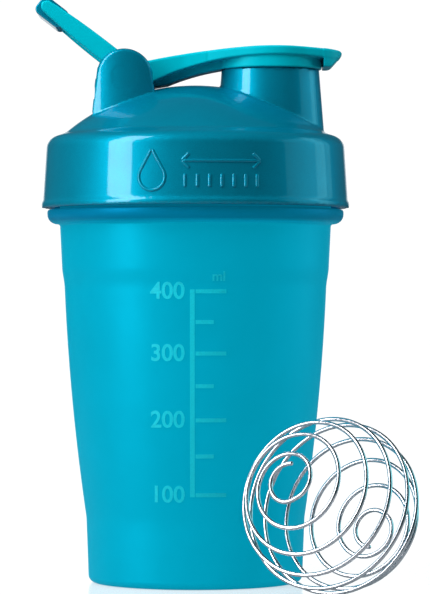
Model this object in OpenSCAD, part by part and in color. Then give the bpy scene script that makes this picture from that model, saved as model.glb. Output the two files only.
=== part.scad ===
// Protein shaker bottle: cup, screw lid with spout and flip cap, carry loop, loose wire mixing ball.
// Millimetres. +Z is up, the origin is on the cup's axis on the plane it stands on,
// and +X points from the hinge tower towards the spout.

/* [Cup] */
// Outer radius of the foot
foot_r = 34.7; // [32:0.1:38]
// Height of the near-vertical heel above the foot
heel_h = 21; // [12:0.5:28]
// Radius gained over the height of the heel
heel_draft = 0.8; // [0.2:0.1:1.5]
// Radius of the rounded corner between heel and foot
heel_round = 2.5; // [1:0.1:4]
// Height at which the hand grip ends and the soft step begins
grip_h = 95; // [80:1:112]
// How far the grip is inside the neck's radius
grip_inset = 1.55; // [0.8:0.05:3]
// How far the grip's wall bows out beyond a straight cone
grip_bow = 0.95; // [0:0.05:2]
// Height of the soft step above the grip
step_h = 8; // [5:0.5:12]
// Radius gained in the soft step
step_out = 0.9; // [0.3:0.05:1.5]
// Height of the cup's body, up to the underside of its bead
body_h = 116.3; // [112:0.1:170]
// Wall thickness of the cup's body
cup_wall = 1.6; // [1.2:0.1:2.4]
// Thickness of the cup's floor
floor_t = 2.6; // [2.2:0.1:4]
// Depth of the ring-shaped recess under the floor
recess_depth = 1.2; // [0.6:0.1:1.5]
// Width of the standing ring round the recess
foot_ring_w = 5; // [3.5:0.1:8]
// Radius of the flat pad in the middle of the recess
pad_r = 8; // [5:0.5:14]
// Rounding where the wall meets the floor inside
inner_round = 5; // [2:0.5:9]

/* [Neck] */
// Outer radius of the neck without its thread
neck_r = 44.1; // [38:0.1:54]
// Height of the neck above the bead
neck_h = 19; // [17:0.5:26]
// Wall thickness of the neck
neck_wall = 1.7; // [1.4:0.1:2.4]
// How far the bead under the lid stands out from the neck
bead_out = 4.1; // [2.5:0.1:4.4]
// Height of the bead
bead_h = 4.7; // [3.6:0.1:6]
// Radius of the bead's rounded lower edge
bead_round = 3.2; // [1:0.1:3.4]

/* [Thread] */
// Rise of the lid in one full turn
thread_lead = 8; // [7:0.5:10]
// Number of thread starts
thread_starts = 2; // [1:1:2]
// Length of each thread in turns
thread_turns = 0.9; // [0.6:0.05:1]
// Height of a thread above its wall
thread_depth = 1.7; // [1.4:0.1:2]
// Axial width of a thread at its wall
thread_root_w = 2; // [1.6:0.1:2.2]
// Axial width of a thread at its crest
thread_crest_w = 1.1; // [0.8:0.1:1.4]
// Radial play between a crest and the opposite wall
thread_play = 0.7; // [0.5:0.05:1]
// Height of the cup's thread start above the bead
thread_start_h = 6; // [5:0.5:7]

/* [Lid skirt] */
// Wall thickness at the top of the skirt
skirt_wall = 1.95; // [1.6:0.05:3]
// Height of the skirt from its rim to its shoulder
skirt_h = 19.5; // [17:0.5:26]
// How far the skirt flares out from shoulder to rim
skirt_flare = 1.25; // [0.5:0.05:2.5]
// Gap between the lid's rim and the bead
rim_gap = 0.5; // [0.3:0.05:1]
// How far the lip at the rim stands out from the skirt
lip_out = 0.35; // [0.1:0.05:0.8]
// Height of the lip at the rim
lip_h = 2.2; // [1.4:0.1:3.5]
// Radius of the rounded shoulder
shoulder_r = 4; // [2:0.1:4.6]
// Width of the flat ledge between shoulder and dome
ledge_w = 1.05; // [0.5:0.05:2]

/* [Lid dome] */
// Height of the dome's crest above the ledge
dome_rise = 16.4; // [14:0.1:18]
// Wall thickness of the dome
dome_wall = 2; // [1.6:0.1:3]
// Wall thickness of the flange that fits inside the neck
flange_wall = 1.8; // [1.2:0.1:2.4]
// Depth of the flange below the seal
flange_depth = 5; // [3:0.1:8]
// Radial gap between flange and neck
flange_gap = 0.4; // [0.3:0.05:0.8]

/* [Seal] */
// Thickness of the seal ring
seal_t = 1.4; // [1:0.1:2.5]
// Radial gap between the seal ring and the lid's walls
seal_gap = 0.3; // [0.3:0.05:0.6]

/* [Spout] */
// Outer radius of the spout at its top ledge
spout_r = 15.9; // [13:0.1:19.5]
// Height of the spout's ledge above the dome's crest
spout_rise = 5.1; // [4:0.1:8]
// Outward lean of the spout's wall in degrees
spout_draft = 4.6; // [2:0.1:6]
// Width of the ledge that the cap's collar sits on
spout_ledge = 0.8; // [0.7:0.05:1.2]
// Height of the drinking rim above the ledge
rim_h = 3; // [2:0.1:4]
// Wall thickness of the drinking rim
rim_wall = 1.9; // [1.5:0.1:3]
// Length of the straight bore that takes the plug
bore_h = 8; // [7:0.5:10]
// Wall thickness of the spout below its straight bore
spout_wall = 2.2; // [1.8:0.1:3]
// Gap between the spout's foot and the dome's edge
spout_set = 1.4; // [0.8:0.1:4]

/* [Hinge tower] */
// Distance of the hinge axis inside the dome's edge
tower_set = 20.6; // [20:0.1:24]
// Height of the hinge axis above the dome's crest
pivot_rise = 1.7; // [1:0.1:4]
// Radius of the tower's round top
tower_r = 9.3; // [8:0.1:11]
// Outward lean of the tower's sides in degrees
tower_flare = 8.5; // [4:0.5:12]
// Thickness of each cheek
cheek_t = 3.4; // [2.8:0.1:4.5]
// Thickness of the cheek left over the blind end of the pin's socket
socket_skin = 0.9; // [0.6:0.1:1.4]
// Radius of the hinge pin
pin_r = 2; // [1.5:0.05:2.6]
// Radial running clearance round the hinge pin
pin_fit = 0.05; // [0.01:0.01:0.1]
// Side gap between neighbouring pieces on the pin
side_gap = 0.3; // [0.2:0.05:0.5]

/* [Flip cap] */
// Radius of the cap's hinge hub
hub_r = 5; // [4.2:0.1:5.2]
// Width of the cap's hinge hub
hub_w = 19.2; // [14:0.1:24]
// Thickness of the cap over the spout
cap_t = 3; // [2.5:0.1:4]
// Extra depth of the cap's arm where it meets the hub
arm_root = 7.65; // [6:0.05:8]
// Height of the cap's highest point above the spout's rim
cap_top_h = 3.95; // [3.6:0.05:5]
// How far the arched top falls from its highest point to the hinge axis
cap_fall = 6.19; // [4:0.01:8]
// Distance of the cap's highest point beyond the spout's axis
cap_peak = 2.6; // [0:0.1:6]
// How far the cap's disc stands out beyond the collar
disc_out = 0.7; // [0.4:0.1:2.5]
// Length of the cap's arm, from the hinge axis, before it spreads to the disc
waist_reach = 25; // [20:0.5:30]
// Wall thickness of the collar
collar_wall = 1.3; // [1:0.1:2]
// Gap between the collar and the spout's rim
collar_gap = 0.3; // [0.3:0.05:0.5]
// Length of the thumb lip beyond the collar
lip_reach = 6.5; // [4:0.1:10]
// Drop of the thumb lip below the cap's top
lip_drop = 6; // [5:0.1:8]
// Depth of the keel rib under the cap's arm
keel_depth = 2.8; // [1.5:0.1:3.5]
// Width of the keel rib
keel_w = 12; // [6:0.5:16]
// Gap between the closed cap and the dome
dome_gap = 0.6; // [0.4:0.1:1]

/* [Cap plug] */
// Thickness of the plug's base disc
plug_base_t = 1; // [0.8:0.1:1.5]
// Depth of the plug below its base
plug_depth = 4.6; // [3.5:0.1:5.5]
// Radial gap between the plug's upper edge and the bore
plug_gap = 0.3; // [0.3:0.05:0.5]
// Taper of the plug over its depth
plug_taper = 0.4; // [0.3:0.05:0.8]
// Wall thickness of the plug's soft skirt
plug_wall = 2; // [1.4:0.1:3]
// Radius of the button that holds the plug in the cap
button_r = 2.5; // [1.5:0.1:4]
// Length of that button
button_h = 1.2; // [0.8:0.1:1.4]

/* [Carry loop] */
// Angle of the parked loop above the horizontal
loop_angle = 37.7; // [30:0.1:50]
// Distance from the hinge axis to the loop's end
loop_reach = 37; // [34:0.5:60]
// Thickness of each arm along the hinge axis
arm_t = 3.4; // [2.6:0.1:4]
// Radius of the eye at the foot of each arm
eye_r = 6; // [5:0.1:6.2]
// Depth of an arm next to its eye
arm_w = 5.9; // [4.5:0.1:6]
// Depth of an arm at its tip
arm_tip_w = 4.8; // [3.8:0.1:5.4]
// Width of the grip along the arms
grip_len = 10.5; // [8:0.5:14]
// Thickness of the grip
grip_t = 6.5; // [5.6:0.1:8]
// Radius of the grip's rounded edges
grip_round = 2; // [1:0.1:2.5]
// Width of the core bar inside the grip
core_w = 6; // [4:0.5:7]
// Thickness of the core bar inside the grip
core_t = 2.6; // [2:0.1:3.2]

/* [Volume scale] */
// Volume between two long marks in millilitres
scale_step = 50; // [50:50:100]
// Volume at the lowest mark
scale_from = 100; // [100:50:150]
// Volume at the highest mark
scale_to = 400; // [300:50:400]
// Width of a mark
mark_w = 9; // [6:0.5:12]
// Height of a mark
mark_h = 1; // [0.6:0.1:1.6]
// Thickness of the print
print_t = 0.15; // [0.1:0.05:0.3]
// Width of the upright bar beside the marks
rail_w = 1.2; // [0.8:0.1:2]

/* [Wire ball] */
// Radius of the ball at the middle of its wire
ball_r = 27; // [20:0.5:32]
// Radius of the wire
wire_r = 0.7; // [0.5:0.05:1]
// Number of turns from end to end
ball_turns = 9.5; // [7:0.5:10.5]
// Angle from the ball's pole to the end ring of wire
end_angle = 13; // [10:0.5:18]
// Length of the flat ring at each end in turns
end_ring = 0.6; // [0.4:0.05:0.8]
// Turn of the ball's axis about the vertical
ball_yaw = -33.8; // [-180:0.1:180]
// Rise of the ball's axis above the horizontal
ball_pitch = 18.7; // [-90:0.1:90]
// Direction of the parked ball from the cup in degrees
ball_bearing = -49.8; // [-90:0.1:-30]
// Gap between the parked ball and the cup
ball_gap = 1.4; // [0.5:0.1:20]

/* [Hidden] */
$fn = 96;

// Small distances that cutters and joined pieces reach past a face
eps = 0.02;
cut = 1;
// Face-to-face gap between flat faces of pieces that move on each other
face_gap = 0.05;

// Levels of the cup and the lid
bead_top = body_h + bead_h;
cup_h = bead_top + neck_h;
rim_z = bead_top + rim_gap;
roof_z = cup_h + seal_t + 2 * face_gap;
shoulder_z = rim_z + skirt_h;
ledge_z = shoulder_z + shoulder_r;
crest_z = ledge_z + dome_rise;

// Radii of the cup and the lid
heel_r = foot_r + heel_draft;
grip_r = neck_r - grip_inset;
neck_in_r = neck_r - neck_wall;
lid_in_r = neck_r + thread_depth + thread_play;
lid_top_r = lid_in_r + skirt_wall;
lid_rim_r = lid_top_r + skirt_flare;
flange_r = neck_in_r - flange_gap;
dome_edge_r = lid_top_r - shoulder_r - ledge_w;
dome_r = (dome_edge_r * dome_edge_r + dome_rise * dome_rise) / (2 * dome_rise);
dome_z = crest_z - dome_r;

// Spout
spout_z = crest_z + spout_rise;
spout_top = spout_z + rim_h;
spout_foot_r = spout_r + (spout_z - ledge_z) * tan(spout_draft);
spout_x = dome_edge_r - spout_foot_r - spout_set;
rim_r = spout_r - spout_ledge;
bore_r = rim_r - rim_wall;

// Hinge tower: the pin passes cheek, arm, hub, arm and cheek, with a side gap between each
pivot_x = -(dome_edge_r - tower_set);
pivot_z = crest_z + pivot_rise;
arm_y = hub_w / 2 + side_gap;
cheek_y = arm_y + arm_t + side_gap;
tower_y = cheek_y + cheek_t;
socket_y = tower_y - socket_skin;

// Flip cap
collar_in_r = rim_r + collar_gap;
collar_r = collar_in_r + collar_wall;
disc_r = collar_r + disc_out;
cap_top = spout_top + cap_top_h;
peak_x = spout_x + cap_peak;
cap_arch_r = (peak_x - pivot_x) * (peak_x - pivot_x) / (2 * cap_fall);
tip_x = spout_x + collar_r + lip_reach;
plug_base_r = rim_r - 0.2;
plug_base_z = spout_top + 2 * face_gap;
plug_seat_z = plug_base_z + plug_base_t;

// Height of the cap's arched top, of its underside and of its keel at x
function cap_over(x) = cap_top - (x - peak_x) * (x - peak_x) / (2 * cap_arch_r);
function root_share(x) = pow(max(0, spout_x - x) / (spout_x - pivot_x), 2.7);
function cap_under(x) = cap_over(x) - cap_t - arm_root * root_share(x);
function dome_over(x) = dome_z + sqrt(dome_r * dome_r - x * x);
function keel_under(x) = max(cap_under(x) - keel_depth, dome_over(x) + dome_gap);

// Outer radius of the cup's body at height z
function grip_t_at(z) = (z - heel_h) / (grip_h - heel_h);
function step_t_at(z) = min(1, (z - grip_h) / step_h);
function cup_r(z) =
    z < heel_h ? foot_r + heel_draft * z / heel_h
    : z < grip_h ? heel_r + (grip_r - heel_r) * grip_t_at(z)
      + 4 * grip_bow * grip_t_at(z) * (1 - grip_t_at(z))
    : grip_r + step_out * step_t_at(z) * step_t_at(z) * (3 - 2 * step_t_at(z))
      + (grip_inset - step_out) * max(0, z - grip_h - step_h) / (body_h - grip_h - step_h);

// Points on an arc from angle a to angle b, for outlines of revolved pieces
function arc(cx, cy, r, a, b, n) =
    [for (i = [0:n]) let (t = a + (b - a) * i / n) [cx + r * cos(t), cy + r * sin(t)]];

// Heights of the body's outline, close together where it curves
body_levels = concat([for (i = [0:10]) heel_h + (grip_h - heel_h) * i / 10],
                     [for (i = [1:5]) grip_h + step_h * i / 5], [body_h]);

// Liquid volume in millilitres below height z, in slices of 1 mm, and the height of a given volume
function slice_ml(z) = PI * pow(cup_r(z) - cup_wall, 2) / 1000;
fill_table = [for (z = floor_t, v = 0; z < body_h; v = v + slice_ml(z), z = z + 1) [v, z]];
function fill_z(ml) = lookup(ml, fill_table);

// Cup ---------------------------------------------------------------------------------------------

module cup_outline() {
    reach = bead_out - bead_round;
    round_off = 0.8;
    chamfer = 0.5;
    pad_edge_r = pad_r + recess_depth;
    ring_in_r = foot_r - foot_ring_w;
    corner_z = floor_t + inner_round;
    outside = concat(
        arc(foot_r - heel_round, heel_round, heel_round, -90, 0, 5),
        [for (z = body_levels) [cup_r(z), z]],
        arc(neck_r + reach, body_h + bead_round, bead_round, -90, 0, 6),
        arc(neck_r + bead_out - round_off, bead_top - round_off, round_off, 0, 90, 3),
        [[neck_r, bead_top], [neck_r, cup_h - chamfer], [neck_r - chamfer, cup_h]]);
    inside = concat(
        [[neck_in_r + chamfer, cup_h], [neck_in_r, cup_h - chamfer]],
        [for (i = [len(body_levels) - 1:-1:1]) [cup_r(body_levels[i]) - cup_wall, body_levels[i]]],
        arc(cup_r(corner_z) - cup_wall - inner_round, corner_z, inner_round, 0, -90, 6),
        [[0, floor_t], [0, 0], [pad_r, 0], [pad_edge_r, recess_depth]],
        [[ring_in_r - recess_depth, recess_depth], [ring_in_r, 0]]);
    polygon(concat(outside, inside));
}

module cup() {
    color("deepskyblue", 0.8)
    union() {
        rotate_extrude() cup_outline();
        thread(neck_r, 1, bead_top + thread_start_h);
    }
}

// Screw thread on a wall of radius r. Side 1 stands out of the wall and side -1 stands into it.
// Each start is one swept trapezoid with its root inside the wall, and its ends dip into the wall.
thread_step = 10;
thread_sink = 0.5;
thread_fade = 2.5;

module thread(r, side, z0) {
    rings = round(360 * thread_turns / thread_step);
    for (s = [0:thread_starts - 1])
        rotate([0, 0, s * 360 / thread_starts])
        translate([0, 0, z0])
        tube_of([for (i = [0:rings])
            thread_ring(r, side, i * thread_step, min(1, min(i, rings - i) / thread_fade))]);
}

// One section of the thread at an angle. Share 1 is the full height, and share 0 is inside the wall.
function thread_ring(r, side, angle, share) =
    let (flank = (thread_root_w - thread_crest_w) / 2 / thread_depth,
         height = share * (thread_depth + thread_sink / 2) - thread_sink / 2,
         root = thread_root_w / 2 + flank * thread_sink,
         crest = thread_root_w / 2 - flank * height,
         z = thread_lead * angle / 360,
         section = [[-thread_sink, z - root], [height, z - crest],
                    [height, z + crest], [-thread_sink, z + root]])
    [for (p = side > 0 ? reversed(section) : section)
        [(r + side * p[0]) * cos(angle), (r + side * p[0]) * sin(angle), p[1]]];

function reversed(v) = [for (i = [len(v) - 1:-1:0]) v[i]];

// Closed solid through a row of rings that all have the same number of points
module tube_of(rings) {
    n = len(rings[0]);
    last = len(rings) - 1;
    points = [for (ring = rings) for (p = ring) p];
    sides = [for (k = [0:last - 1]) for (i = [0:n - 1])
        let (a = k * n + i, b = k * n + (i + 1) % n) each [[a, a + n, b], [b, a + n, b + n]]];
    polyhedron(points, concat([[for (i = [0:n - 1]) i]], sides, [[for (i = [n - 1:-1:0]) last * n + i]]));
}

// Volume scale: thin printed marks that follow the cup's wall, one per step of volume, and a rail beside them
module volume_scale() {
    color("turquoise")
    intersection() {
        rotate_extrude() polygon(concat(
            [for (z = body_levels) [cup_r(z), z]],
            [for (z = reversed(body_levels)) [cup_r(z) + print_t, z]]));
        union() {
            for (ml = [scale_from:scale_step:scale_to])
                translate([0, -neck_r - cut, fill_z(ml)])
                translate([0, 0, -mark_h / 2])
                cube([mark_w, neck_r, mark_h]);
            translate([-rail_w - eps, -neck_r - cut, fill_z(scale_from) - mark_h / 2])
            cube([rail_w + 2 * eps, neck_r, fill_z(scale_to) - fill_z(scale_from) + mark_h]);
        }
    }
}

// Lid ---------------------------------------------------------------------------------------------

module lid_outline() {
    edge = asin(dome_edge_r / dome_r);
    inner_edge = asin((flange_r - flange_wall) / (dome_r - dome_wall));
    lip_r = lid_rim_r + lip_out;
    lip_top = rim_z + lip_h;
    round_off = 0.7;
    lead_in = 1.2;
    chamfer = 0.6;
    flange_in_r = flange_r - flange_wall;
    flange_z = roof_z - flange_depth;
    polygon(concat(
        [[lid_in_r + lead_in, rim_z]],
        arc(lip_r - round_off, rim_z + round_off, round_off, -90, 0, 3),
        [[lip_r, lip_top - lip_out], [lid_rim_r - skirt_flare * lip_h / skirt_h, lip_top]],
        arc(lid_top_r - shoulder_r, shoulder_z, shoulder_r, 0, 90, 8),
        arc(0, dome_z, dome_r, 90 - edge, 90, 24),
        arc(0, dome_z, dome_r - dome_wall, 90, 90 - inner_edge, 20),
        [[flange_in_r, flange_z + chamfer], [flange_in_r + chamfer, flange_z]],
        [[flange_r - chamfer, flange_z], [flange_r, flange_z + chamfer], [flange_r, roof_z]],
        [[lid_in_r, roof_z], [lid_in_r, rim_z + 2 * lead_in], [lid_in_r + lead_in, rim_z + lead_in]]));
}

// Outside of the spout: a leaning wall up to a ledge, then the narrower drinking rim
module spout_outside() {
    round_off = 0.6;
    translate([spout_x, 0, 0])
    rotate_extrude() polygon(concat(
        [[0, ledge_z], [spout_foot_r, ledge_z], [spout_r, spout_z], [rim_r, spout_z]],
        arc(rim_r - round_off, spout_top - round_off, round_off, 0, 90, 3),
        [[0, spout_top]]));
}

// Inside of the spout: a straight bore for the plug, then a flow passage that widens downwards
module spout_bore() {
    bore_z = spout_top - bore_h;
    low_z = ledge_z - shoulder_r;
    wide_r = spout_foot_r - spout_wall;
    translate([spout_x, 0, bore_z])
    cylinder(r = bore_r, h = bore_h + cut);
    translate([spout_x, 0, 0])
    rotate_extrude() polygon([
        [0, low_z], [wide_r, low_z], [wide_r, ledge_z], [bore_r, bore_z + eps], [0, bore_z + eps]]);
}

// Side view of the hinge tower: a round top whose tangents lean out down to the ledge
module tower_side() {
    drop = pivot_z - ledge_z;
    top_x = tower_r * cos(tower_flare);
    top_y = tower_r * sin(tower_flare);
    foot_x = top_x + (drop + top_y) * tan(tower_flare);
    circle(r = tower_r);
    polygon([[-top_x, top_y], [top_x, top_y], [foot_x, -drop], [-foot_x, -drop]]);
}

// Lays a side view drawn about the hinge axis in the XZ plane, from y0 to y1
module along_pivot(y0, y1) {
    translate([pivot_x, y1, pivot_z])
    rotate([90, 0, 0])
    linear_extrude(y1 - y0)
    children();
}

module lid() {
    color("teal")
    difference() {
        union() {
            rotate_extrude() lid_outline();
            difference() {
                union() {
                    spout_outside();
                    along_pivot(cheek_y, tower_y) tower_side();
                    along_pivot(-tower_y, -cheek_y) tower_side();
                }
                translate([0, 0, dome_z]) sphere(r = dome_r - dome_wall / 2);
            }
            thread(lid_in_r, -1, bead_top + thread_start_h - thread_lead / thread_starts / 2);
        }
        spout_bore();
        along_pivot(-socket_y, socket_y) circle(r = pin_r + pin_fit);
    }
}

module lid_seal() {
    color("whitesmoke")
    rotate_extrude()
    translate([flange_r + seal_gap, cup_h + face_gap])
    square([lid_in_r - flange_r - 2 * seal_gap, seal_t]);
}

module hinge_pin() {
    color("silver")
    along_pivot(-socket_y + face_gap, socket_y - face_gap) circle(r = pin_r);
}

// Flip cap ----------------------------------------------------------------------------------------

arch_from = pivot_x + tower_r - 3;
arch_to = tip_x - 2;
cap_xs = [for (i = [0:24]) arch_from + (arch_to - arch_from) * i / 24];
under_xs = [for (x = cap_xs) if (x < spout_x + collar_r) x];

// Side view of the cap: hub, deepening arm, arched plate and thumb lip, in X and Z
module cap_side() {
    lip_x = spout_x + collar_r + 0.4;
    lip_z = cap_top - lip_drop - 0.5;
    lip_w = 2.4;
    round_off = 0.5;
    tip_z = cap_over(tip_x);
    translate([pivot_x, pivot_z]) circle(r = hub_r);
    polygon(concat(
        [[pivot_x, pivot_z + hub_r]],
        [for (x = cap_xs) [x, cap_over(x)]],
        [[tip_x - round_off, tip_z - round_off], [tip_x, tip_z - 3 * round_off]],
        [[lip_x + lip_w, lip_z], [lip_x, lip_z], [lip_x, cap_under(lip_x)]],
        [for (x = reversed(under_xs)) [x, cap_under(x)]],
        [[pivot_x + hub_r * cos(60), pivot_z - hub_r * sin(60)]]));
}

// Plan of the cap: a parallel arm that spreads by tangents to the disc, and a rounded nose
module cap_plan() {
    nose_r = 0.7 * disc_r;
    square_from = pivot_x - hub_r - cut;
    waist_x = pivot_x + waist_reach;
    translate([square_from, -hub_w / 2]) square([waist_x - square_from, hub_w]);
    tangent_pair([waist_x, 0], hub_w / 2, [spout_x, 0], disc_r);
    tangent_pair([spout_x, 0], disc_r, [tip_x - nose_r, 0], nose_r);
}

// Two circles on a line along X and the trapezium between their outer tangents
module tangent_pair(a, ra, b, rb) {
    lean = acos((ra - rb) / (b[0] - a[0]));
    translate(a) circle(r = ra);
    translate(b) circle(r = rb);
    polygon([[a[0] + ra * cos(lean), ra * sin(lean)], [b[0] + rb * cos(lean), rb * sin(lean)],
             [b[0] + rb * cos(lean), -rb * sin(lean)], [a[0] + ra * cos(lean), -ra * sin(lean)]]);
}

// Side view of the keel rib between the hub and the collar
module keel_side() {
    start_x = pivot_x + hub_r + 1;
    stop_x = spout_x - collar_in_r;
    xs = [for (i = [0:12]) start_x + (stop_x - start_x) * i / 12];
    polygon(concat(
        [for (x = xs) [x, cap_over(x) - cap_t / 2]],
        [for (x = reversed(xs)) [x, keel_under(x)]]));
}

module upright(y0, y1) {
    translate([0, y1, 0])
    rotate([90, 0, 0])
    linear_extrude(y1 - y0)
    children();
}

module flip_cap() {
    color("darkturquoise")
    difference() {
        union() {
            intersection() {
                upright(-disc_r - cut, disc_r + cut) cap_side();
                translate([0, 0, dome_z]) linear_extrude(2 * dome_r) cap_plan();
            }
            upright(-keel_w / 2, keel_w / 2) keel_side();
            translate([spout_x, 0, spout_z + face_gap])
            cylinder(r = collar_r, h = cap_over(spout_x - collar_r) - cap_t / 2 - spout_z);
        }
        translate([spout_x, 0, dome_z])
        cylinder(r = collar_r + cut / 2, h = spout_z + face_gap - dome_z);
        translate([spout_x, 0, dome_z])
        cylinder(r = collar_in_r, h = plug_base_z + face_gap - dome_z);
        translate([spout_x, 0, dome_z])
        cylinder(r = plug_base_r, h = plug_seat_z - dome_z);
        translate([spout_x, 0, plug_seat_z - eps])
        cylinder(r = button_r, h = button_h + eps);
        along_pivot(-hub_w, hub_w) circle(r = pin_r + pin_fit);
    }
}

// Soft stopper: a base disc against the cap, a hollow tapered skirt below it and a button above it
module cap_plug() {
    top_r = bore_r - plug_gap;
    low_r = top_r - plug_taper;
    low_z = plug_base_z - plug_depth;
    in_r = low_r - plug_wall;
    roof = plug_base_z - 0.6;
    round_off = 0.5;
    color("lightcyan")
    translate([spout_x, 0, 0])
    rotate_extrude() polygon([
        [0, plug_seat_z + button_h], [button_r, plug_seat_z + button_h], [button_r, plug_seat_z],
        [plug_base_r, plug_seat_z], [plug_base_r, plug_base_z], [top_r, plug_base_z],
        [low_r, low_z + round_off], [low_r - round_off, low_z], [in_r, low_z], [in_r, roof], [0, roof]]);
}

// Carry loop --------------------------------------------------------------------------------------

arm_top = eye_r - 0.2;
grip_top = arm_top + 0.1;

// Lays a side view drawn along the parked loop, X along the arms, from y0 to y1
module along_loop(y0, y1) {
    along_pivot(y0, y1)
    rotate([0, 0, 180 - loop_angle])
    mirror([0, 1, 0])
    children();
}

module rounded_bar(x0, y0, w, h, r) {
    for (x = [x0 + r, x0 + w - r])
        for (y = [y0 + r, y0 + h - r])
            translate([x, y]) circle(r = r);
    translate([x0 + r, y0]) square([w - 2 * r, h]);
    translate([x0, y0 + r]) square([w, h - 2 * r]);
}

// Side view of an arm: an eye round the pin and a band that narrows to a rounded tip
module arm_side() {
    tip_r = arm_tip_w / 2;
    tip_top = arm_top - 0.7;
    end_x = loop_reach - 0.6 - tip_r;
    mid_x = loop_reach / 2;
    circle(r = eye_r);
    translate([end_x, tip_top - tip_r]) circle(r = tip_r);
    polygon([[0, arm_top], [mid_x, grip_top], [end_x, tip_top],
             [end_x, tip_top - arm_tip_w], [mid_x, arm_top - arm_w], [0, arm_top - arm_w]]);
}

module core_side() {
    translate([loop_reach - (grip_len + core_w) / 2, grip_top - (grip_t + core_t) / 2])
    square([core_w, core_t]);
}

module carry_loop() {
    color("darkturquoise")
    difference() {
        union() {
            along_loop(arm_y, arm_y + arm_t) arm_side();
            along_loop(-arm_y - arm_t, -arm_y) arm_side();
            along_loop(-arm_y - eps, arm_y + eps) core_side();
        }
        along_pivot(-tower_y, tower_y) circle(r = pin_r + pin_fit);
    }
}

module loop_grip() {
    color("teal")
    along_loop(-arm_y, arm_y)
    difference() {
        rounded_bar(loop_reach - grip_len, grip_top - grip_t, grip_len, grip_t, grip_round);
        core_side();
    }
}

// Wire ball ---------------------------------------------------------------------------------------

ball_z = ball_r + wire_r;
ball_reach = cup_r(ball_z) + ball_gap + ball_z;
wire_sides = 8;
wire_rings = round(32 * ball_turns);

// Angle from the ball's pole after u turns: a flat ring at each end and an even spiral between
function polar(u) =
    let (share = (u - end_ring) / (ball_turns - 2 * end_ring))
    end_angle + (180 - 2 * end_angle) * min(1, max(0, share));
function wire_dir(u) = [sin(polar(u)) * cos(90 + 360 * u), sin(polar(u)) * sin(90 + 360 * u), cos(polar(u))];
function unit(v) = v / norm(v);
function wire_ring(u) =
    let (out = wire_dir(u),
         ahead = unit(wire_dir(u + 0.001) - wire_dir(u - 0.001)),
         side = unit(cross(ahead, out)))
    [for (i = [0:wire_sides - 1])
        let (a = 360 * i / wire_sides) ball_r * out + wire_r * (cos(a) * out + sin(a) * side)];

module whisk_ball() {
    color("gainsboro")
    translate([ball_reach * cos(ball_bearing), ball_reach * sin(ball_bearing), ball_z])
    rotate([90 - ball_pitch, 0, ball_yaw])
    tube_of([for (k = [0:wire_rings]) wire_ring(ball_turns * k / wire_rings)]);
}

cup();
volume_scale();
lid();
lid_seal();
hinge_pin();
flip_cap();
cap_plug();
carry_loop();
loop_grip();
whisk_ball();
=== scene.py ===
# %% [markdown]
# # A shaker bottle, moulding by moulding
# The bottle is a frosted cup, a glossy screw lid with a drinking spout, a satin flip cap and finger
# loop that share one hinge pin, and a loose mixing ball wound from one steel wire.
# The CAD model says where everything is and how it moves. This notebook makes the looks: each cell
# builds one piece in metres, in the CAD model's own frame, and hangs it on the CAD body it moves with.

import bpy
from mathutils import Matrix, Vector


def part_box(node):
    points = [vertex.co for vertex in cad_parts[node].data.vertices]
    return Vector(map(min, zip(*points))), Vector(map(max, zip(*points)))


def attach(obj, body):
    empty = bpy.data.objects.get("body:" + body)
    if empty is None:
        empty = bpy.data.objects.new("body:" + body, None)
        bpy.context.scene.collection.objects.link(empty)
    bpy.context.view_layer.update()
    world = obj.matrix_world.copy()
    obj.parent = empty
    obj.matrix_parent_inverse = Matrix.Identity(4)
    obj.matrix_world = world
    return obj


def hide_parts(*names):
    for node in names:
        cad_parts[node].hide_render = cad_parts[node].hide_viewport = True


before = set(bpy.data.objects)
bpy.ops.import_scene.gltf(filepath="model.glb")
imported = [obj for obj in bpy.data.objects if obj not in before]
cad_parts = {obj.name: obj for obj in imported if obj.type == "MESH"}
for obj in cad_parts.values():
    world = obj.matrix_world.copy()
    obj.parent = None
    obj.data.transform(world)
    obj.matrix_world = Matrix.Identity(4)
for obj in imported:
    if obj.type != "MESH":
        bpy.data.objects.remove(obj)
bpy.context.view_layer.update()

# %% Modules and the unit
import math

import bpy
import numpy as np

MM = 0.001


def middle_of(node):
    low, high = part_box(node)
    return (low + high) / 2


# %% [markdown]
# ## Places that the CAD model gives
# Nothing is fitted by eye here: levels and axes are read from the boxes of the CAD nodes. The hinge
# axis runs through the middle of the pin, and the spout's axis through the middle of the soft plug.

# %% Read levels and axes from the frame
cup_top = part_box("cup")[1].z
rim_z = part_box("lid")[0].z
pin_low, pin_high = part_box("hinge_pin")
pivot_x, pivot_z = middle_of("hinge_pin").x, middle_of("hinge_pin").z
spout_x = middle_of("cap_plug").x
seal_low, seal_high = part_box("lid_seal")
tip_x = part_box("flip_cap")[1].x
cap_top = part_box("flip_cap")[1].z
pin_sink = 0.95 * MM
tower_y = pin_high.y + pin_sink
print(f"hinge at x {pivot_x:.4f} z {pivot_z:.4f}, spout at x {spout_x:.4f}, cup top {cup_top:.4f}")

# %% Sizes of the cup
foot_r = 34.7 * MM
heel_h, heel_draft = 21 * MM, 0.8 * MM
neck_r, neck_h, neck_wall = 44.1 * MM, 19 * MM, 1.7 * MM
grip_h, grip_inset, grip_bow = 95 * MM, 1.55 * MM, 0.95 * MM
step_h, step_out = 8 * MM, 0.9 * MM
cup_wall, floor_t = 1.6 * MM, 2.6 * MM
bead_top = cup_top - neck_h
bead_h, bead_out = 4.7 * MM, 4.1 * MM
body_h = bead_top - bead_h


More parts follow.
